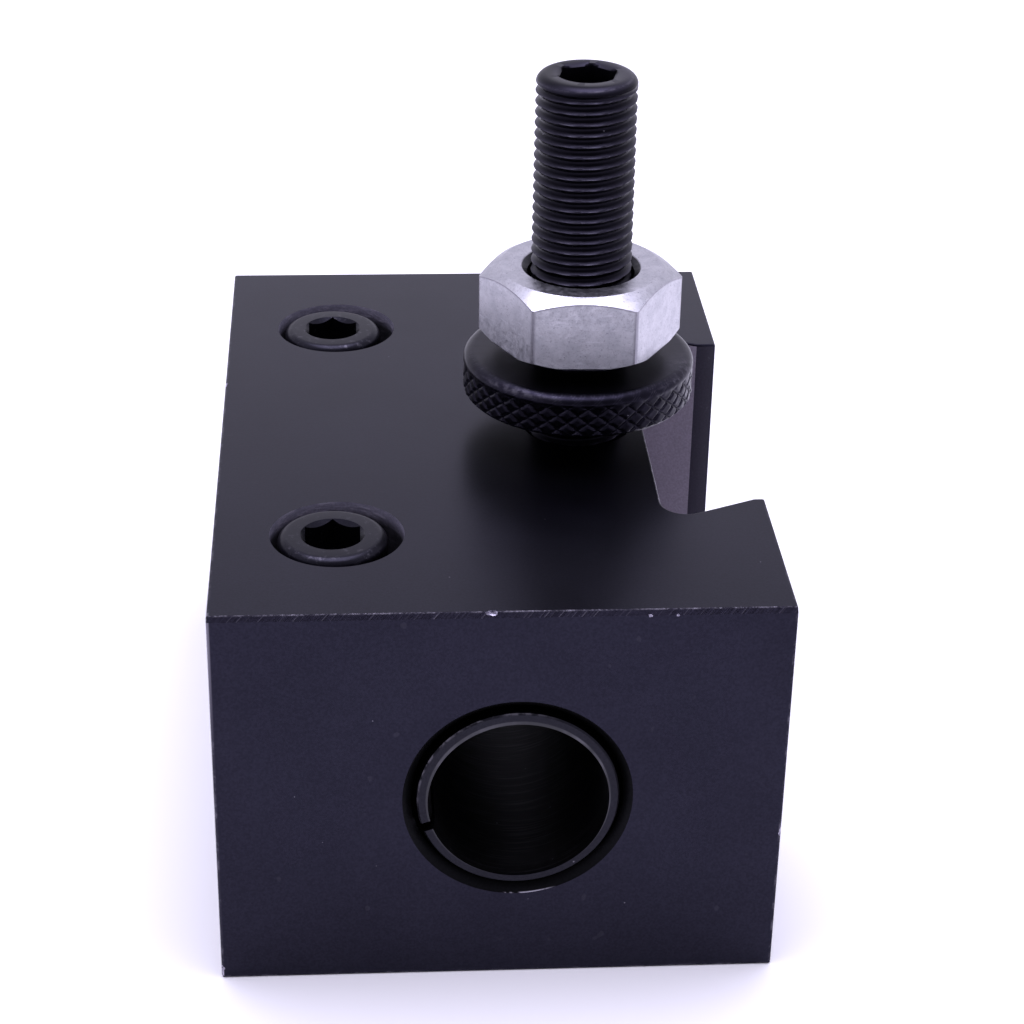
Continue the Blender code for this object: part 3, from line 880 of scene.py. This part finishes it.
def slot_lip():
    """Narrow flats beside the slot's mouth: duller oxide than the ground faces."""
    mat, tree, shader, colour, rough = oxide_base("black_oxide_lip", LIP_OXIDE, 0.55)
    shader.inputs["Metallic"].default_value = 0.1
    shader.inputs["Specular IOR Level"].default_value = 0.2
    rub = ramp(tree, grain(tree, 1.1, 5.0, shift=6.0, roughness=0.7), 0.60, 0.72, 0.0, 0.06)
    colour, rough = wear_over(tree, colour, rough, rub)
    paint(tree, shader, colour, rough)
    return mat


def bored_wall():
    """Bore, its mouth chamfers and the stud hole: oxide darkened to near black as painted shade, with
    turning rings and a bright burr at the lower rim.
    """
    mat, tree, shader, colour, rough = oxide_base("black_oxide_bore_in_shade", BORE_OXIDE_AND_SHADE, 0.42)
    x, y, z = axes(tree)
    rings = grain(tree, 0.13, 2.0, stretch=(60.0, 1.0, 60.0), shift=2.0)
    bump(tree, shader, rings, 0.004)
    front_y = -HALF_LENGTH / MM
    front = ramp(tree, y, front_y + 0.10, front_y + 0.02)
    under = ramp(tree, z, BORE_Z / MM - 9.6, BORE_Z / MM - 10.1)
    side = ramp(tree, x, BORE_X / MM - 1.9, BORE_X / MM - 0.6)
    patchy = ramp(tree, grain(tree, 1.2, 4.0, shift=1.5), 0.36, 0.5)
    burr = product(tree, front, under, side, patchy)
    dots = product(tree, specks(tree, spacing_mm=1.1, size=0.12, share=0.25), 0.12)
    colour, rough = wear_over(tree, colour, rough, largest(tree, burr, dots))
    paint(tree, shader, colour, rough)
    return mat


def drilled_wall():
    """Counterbores and holes: rough rubbed wall with light, nearly level tool marks, and painted shade
    that darkens the wall with depth.
    """
    mat, tree, shader, colour, rough = oxide_base("black_oxide_hole", HOLE_OXIDE, 0.5)
    shader.inputs["Metallic"].default_value = 0.25
    # Painted shade: the wall darkens with depth below the top and is painted a little lighter near the
    # mouth; the tool marks fade with it.
    depth_shade = ramp(tree, axes(tree)[2], HEIGHT / MM - 1.7, HEIGHT / MM - 0.45, 0.10, 1.25)
    colour = scaled(tree, colour, depth_shade)
    streaks = grain(tree, 0.42, 5.0, stretch=(4.0, 4.0, 1.0), shift=3.0, roughness=0.7)
    marks = product(tree, ramp(tree, streaks, 0.48, 0.64, 0.0, 0.6), depth_shade)
    bump(tree, shader, streaks, 0.08)
    colour, rough = wear_over(tree, colour, rough, marks, HOLE_SCRATCH, 0.4)
    paint(tree, shader, colour, rough)
    return mat


def sleeve_steel():
    """Blackened sleeve with rings from turning and rubbed specks inside; the bore's inside is painted
    lighter, with lit ring marks, as painted light.
    """
    mat, tree, shader, colour, rough = oxide_base("dark_sleeve_steel", SLEEVE_OXIDE, 0.36)
    rings = grain(tree, 0.22, 3.0, stretch=(60.0, 1.0, 60.0), shift=2.0)
    bump(tree, shader, rings, 0.012)
    x, y, z = axes(tree)
    across = maths(tree, "SUBTRACT", x, SLEEVE_X / MM)
    up = maths(tree, "SUBTRACT", z, SLEEVE_Z / MM)
    reach = distance(tree, across, up)
    rim = ramp(tree, reach, (SLEEVE_RADIUS - SLEEVE_OUTER_CHAMFER) / MM - 0.05, SLEEVE_RADIUS / MM)
    upper_left = ramp(tree, maths(tree, "SUBTRACT", up, across), 4.0, 9.0, 0.0, 0.3)
    mouth = ramp(tree, y, SLEEVE_LOW.y / MM + 0.5, SLEEVE_LOW.y / MM + 0.2)
    patchy = ramp(tree, grain(tree, 0.9, 4.0, shift=4.0), 0.42, 0.6)
    rubbed = product(tree, rim, upper_left, mouth, patchy)
    inside = ramp(tree, reach, SLEEVE_INNER_RADIUS / MM + 0.4, SLEEVE_INNER_RADIUS / MM + 0.3)
    # Painted light: the inside of the bore is lighter, with lit ring marks.
    lit = ramp(tree, grain(tree, 0.25, 4.0, stretch=(24.0, 1.0, 24.0), shift=7.0), 0.50, 0.68, 0.0, 0.10)
    colour = mix_colour(tree, inside, colour, SLEEVE_INSIDE_LIGHT)
    dots = product(tree, specks(tree, spacing_mm=1.6, size=0.07, share=0.35), 0.3)
    mask = largest(tree, product(tree, lit, inside), rubbed, dots)
    colour, rough = wear_over(tree, colour, rough, mask)
    paint(tree, shader, colour, rough)
    return mat


def cap_screw_steel():
    """Black oxide of the cap screws, with a finer grain and small rubbed patches."""
    mat, tree, shader, colour, rough = oxide_base("black_oxide_screw", SCREW_OXIDE, 0.34, 0.12, 0.003)
    rub = ramp(tree, grain(tree, 0.6, 5.0, shift=2.0, roughness=0.7), 0.54, 0.72, 0.0, 0.11)
    colour, rough = wear_over(tree, colour, rough, rub)
    paint(tree, shader, colour, rough)
    return mat


def plug_steel():
    """Black oxide of the clamp plugs, with rings from turning."""
    mat, tree, shader, colour, rough = oxide_base("black_oxide_plug", PLUG_OXIDE, 0.36)
    rings = grain(tree, 0.15, 3.0, stretch=(60.0, 60.0, 1.0), shift=2.0)
    bump(tree, shader, rings, 0.006)
    rub = ramp(tree, grain(tree, 1.1, 5.0, shift=2.0), 0.62, 0.74, 0.0, 0.15)
    colour, rough = wear_over(tree, colour, rough, rub)
    paint(tree, shader, colour, rough)
    return mat


def ridge_oxide(name, tint, roughness, ridge_low, ridge_high, amount, hollow_shade):
    """Black oxide rubbed brighter on ridges, with painted shade darkening it elsewhere, by the mesh's
    attribute for wear and painted light.
    """
    mat, tree, shader, colour, rough = oxide_base(name, tint, roughness, 0.10, 0.004)
    ridge = add_node(tree, "ShaderNodeAttribute", attribute_name="wear_and_painted_light").outputs["Fac"]
    # Painted shade: the colour falls to hollow_shade where the attribute is low, as in thread roots and
    # the knurl's hollows.
    shade = ramp(tree, ridge, 0.1, 0.9, hollow_shade, 1.0)
    colour = scaled(tree, colour, shade)
    raised = ramp(tree, ridge, ridge_low, ridge_high)
    patchy = ramp(tree, grain(tree, 0.8, 5.0, shift=5.0, roughness=0.7), 0.40, 0.66)
    rubbed = product(tree, raised, patchy, amount)
    dots = product(tree, specks(tree, spacing_mm=1.3, size=0.07, share=0.25), 0.4)
    colour, rough = wear_over(tree, colour, rough, largest(tree, rubbed, dots))
    paint(tree, shader, colour, rough)
    return mat


def hexagon_edge_lines(tree, x, y):
    """1 along the nut's six upright edges, 0 elsewhere."""
    reaches = []
    for i in range(3):
        turn = NUT_TURN + math.pi / 2 + i * math.pi / 3
        along = product(tree, x, math.cos(turn))
        across = product(tree, y, math.sin(turn))
        reaches.append(maths(tree, "ABSOLUTE", maths(tree, "ADD", along, across)))
    low = maths(tree, "MINIMUM", reaches[0], reaches[1])
    high = largest(tree, reaches[0], reaches[1])
    middle = largest(tree, low, maths(tree, "MINIMUM", high, reaches[2]))
    ahead = maths(tree, "SUBTRACT", largest(tree, high, reaches[2]), middle)
    return ramp(tree, ahead, 0.36, 0.10)


def zinc_plate():
    """Bright zinc plate: pale lilac-grey, mottled, with fine dark pits and scratches, painted shade
    along the nut's edges and chamfer arcs, and a painted shadow in its thread's throat.
    """
    mat, tree, shader = new_material("zinc_plated_nut")
    shader.inputs["Metallic"].default_value = 1.0
    mottled = ramp(tree, grain(tree, 1.3, 6.0, roughness=0.65), 0.3, 0.7)
    colour = mix_colour(tree, mottled, ZINC_DARK, ZINC_PALE)
    speckle = ramp(tree, grain(tree, 0.2, 4.0, shift=8.0, roughness=0.75), 0.52, 0.66, 0.0, 0.5)
    colour = mix_colour(tree, speckle, colour, ZINC_SPECKLE)
    pits = product(tree, specks(tree, spacing_mm=0.5, size=0.17, share=0.35), 0.6)
    colour = mix_colour(tree, pits, colour, ZINC_PIT)
    hair = ramp(tree, grain(tree, 0.30, 2.0, stretch=(9.0, 9.0, 1.0), shift=4.0), 0.68, 0.72, 0.0, 0.25)
    colour = mix_colour(tree, hair, colour, ZINC_SCRATCH)
    x, y, z = axes(tree)
    dx = maths(tree, "SUBTRACT", x, STUD_X / MM)
    dy = maths(tree, "SUBTRACT", y, STUD_Y / MM)
    reach = distance(tree, dx, dy)
    slope = add_node(tree, "ShaderNodeTexCoord").outputs["Normal"]
    facing = add_node(tree, "ShaderNodeSeparateXYZ", {0: slope}).outputs
    upright = ramp(tree, maths(tree, "ABSOLUTE", facing[2]), 0.45, 0.15)
    cone = maths(tree, "MULTIPLY_ADD", reach, -NUT_CONE_SLOPE,
                 NUT_HIGH.z / MM + NUT_TOP_FACE_RADIUS / MM * NUT_CONE_SLOPE)
    arc_line = ramp(tree, maths(tree, "SUBTRACT", cone, z), 0.22, 0.06)
    # Painted shade: dark lines along the nut's upright edges and the arcs where its chamfer cones meet
    # the flats.
    edges = largest(tree, hexagon_edge_lines(tree, dx, dy), arc_line)
    colour = mix_colour(tree, product(tree, edges, upright, 0.55), colour, ZINC_EDGE_SHADE)
    # Painted shadow: the countersink and thread inside the nut are painted near black.
    throat_shade = ramp(tree, reach, NUT_COUNTERSINK_RADIUS / MM - 0.02, NUT_COUNTERSINK_RADIUS / MM - 0.12)
    colour = mix_colour(tree, throat_shade, colour, ZINC_THROAT_SHADE)
    rough = ramp(tree, grain(tree, 0.5, 4.0, shift=6.0), 0.3, 0.7, 0.28, 0.42)
    bump(tree, shader, grain(tree, 0.18, 4.0, shift=1.0), 0.006)
    bump(tree, shader, grain(tree, 1.6, 2.0, shift=7.0), 0.012)
    paint(tree, shader, colour, rough)
    return mat


# Studio

FLOOR_SIZE = 3.0
FLOOR_COLOUR = (0.975, 0.97, 0.975)
FLOOR_ROUGHNESS = 0.8
SKY_COLOUR = (0.955, 0.925, 1.12)
SKY_STRENGTH = 0.95
SKY_DARK_SIDE = (0.0, -0.8, 0.6)
SKY_DARK_SHARE = 0.4
TOP_LIGHT_AT = (0.0, 0.05, 0.9)
TOP_LIGHT_SIZE = 0.7
TOP_LIGHT_POWER = 7.5
TOP_LIGHT_COLOUR = (1.0, 0.97, 1.20)
CAMERA_AT = Vector((-12.89, -224.1, 149.3)) * MM
CAMERA_AIM = Vector((3.13, 0.0, 28.25)) * MM
CAMERA_ROLL = math.radians(1.12)
CAMERA_LENS = 89.27


def make_floor():
    """Plain pale paper under the object."""
    bm = bmesh.new()
    bmesh.ops.create_grid(bm, x_segments=1, y_segments=1, size=FLOOR_SIZE / 2)
    floor = link_object("floor", bm)
    paper, _, shader = new_material("floor_paper")
    shader.inputs["Base Color"].default_value = (*FLOOR_COLOUR, 1.0)
    shader.inputs["Roughness"].default_value = FLOOR_ROUGHNESS
    floor.data.materials.append(paper)


def make_softbox():
    """A square softbox above the object, aimed at the origin."""
    data = bpy.data.lights.new("top_softbox", "AREA")
    data.shape = "SQUARE"
    data.size = TOP_LIGHT_SIZE
    data.energy = TOP_LIGHT_POWER
    data.color = TOP_LIGHT_COLOUR
    lamp = bpy.data.objects.new("top_softbox", data)
    lamp.location = TOP_LIGHT_AT
    lamp.rotation_euler = (-Vector(TOP_LIGHT_AT)).to_track_quat("-Z", "Y").to_euler()
    bpy.context.scene.collection.objects.link(lamp)


def make_sky():
    """Even pale surround, dimmer on the side the viewer stands on."""
    world = bpy.data.worlds.new("studio")
    world.use_nodes = True
    tree = world.node_tree
    background = tree.nodes["Background"]
    background.inputs["Color"].default_value = (*SKY_COLOUR, 1.0)
    toward = add_node(tree, "ShaderNodeTexCoord").outputs["Generated"]
    facing = add_node(tree, "ShaderNodeVectorMath", {0: toward, 1: SKY_DARK_SIDE},
                      operation="DOT_PRODUCT")
    dim = ramp(tree, facing.outputs["Value"], 0.55, 0.95, SKY_STRENGTH, SKY_STRENGTH * SKY_DARK_SHARE)
    tree.links.new(dim, background.inputs["Strength"])
    bpy.context.scene.world = world


def make_studio():
    make_floor()
    make_sky()
    make_softbox()
    bpy.context.scene.view_settings.view_transform = "Standard"


def make_camera():
    """Camera at the viewing angle of the picture, rolled a little."""
    data = bpy.data.cameras.new("camera")
    data.lens = CAMERA_LENS
    data.clip_start = 0.01
    camera = bpy.data.objects.new("camera", data)
    camera.location = CAMERA_AT
    look = (CAMERA_AIM - CAMERA_AT).to_track_quat("-Z", "Y").to_matrix()
    roll = Matrix.Rotation(CAMERA_ROLL, 3, "Z")
    camera.rotation_euler = (look @ roll).to_euler()
    bpy.context.scene.collection.objects.link(camera)
    bpy.context.scene.camera = camera


def place_piece(piece, mat, body, node):
    """Give a piece its finish, unless it has its own, and let it stand for its CAD node."""
    if mat:
        piece.data.materials.clear()
        piece.data.materials.append(mat)
    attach(piece, body)
    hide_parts(node)


# Assembly

make_camera()
make_studio()
place_piece(make_block(), None, "holder", "holder_body")
place_piece(make_sleeve(), sleeve_steel(), "sleeve", "split_sleeve")
screw_steel = cap_screw_steel()
plug_finish = plug_steel()
for label in STATION_Y:
    place_piece(make_cap_screw(label), screw_steel, "clamp_screw_" + label, "clamp_screw_" + label)
    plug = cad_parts["clamp_plug_" + label]
    plug.data.materials.clear()
    plug.data.materials.append(plug_finish)
stud_steel = ridge_oxide("black_oxide_stud", STUD_OXIDE, roughness=0.40, ridge_low=0.75,
                         ridge_high=1.0, amount=0.10, hollow_shade=0.28)
place_piece(make_stud(), stud_steel, "holder", "height_stud")
wheel_steel = ridge_oxide("black_oxide_wheel", WHEEL_OXIDE, roughness=0.34, ridge_low=0.45,
                          ridge_high=1.0, amount=0.16, hollow_shade=0.50)
place_piece(make_wheel(), wheel_steel, "thumb_wheel", "thumb_wheel")
place_piece(make_nut(), zinc_plate(), "lock_nut", "lock_nut")
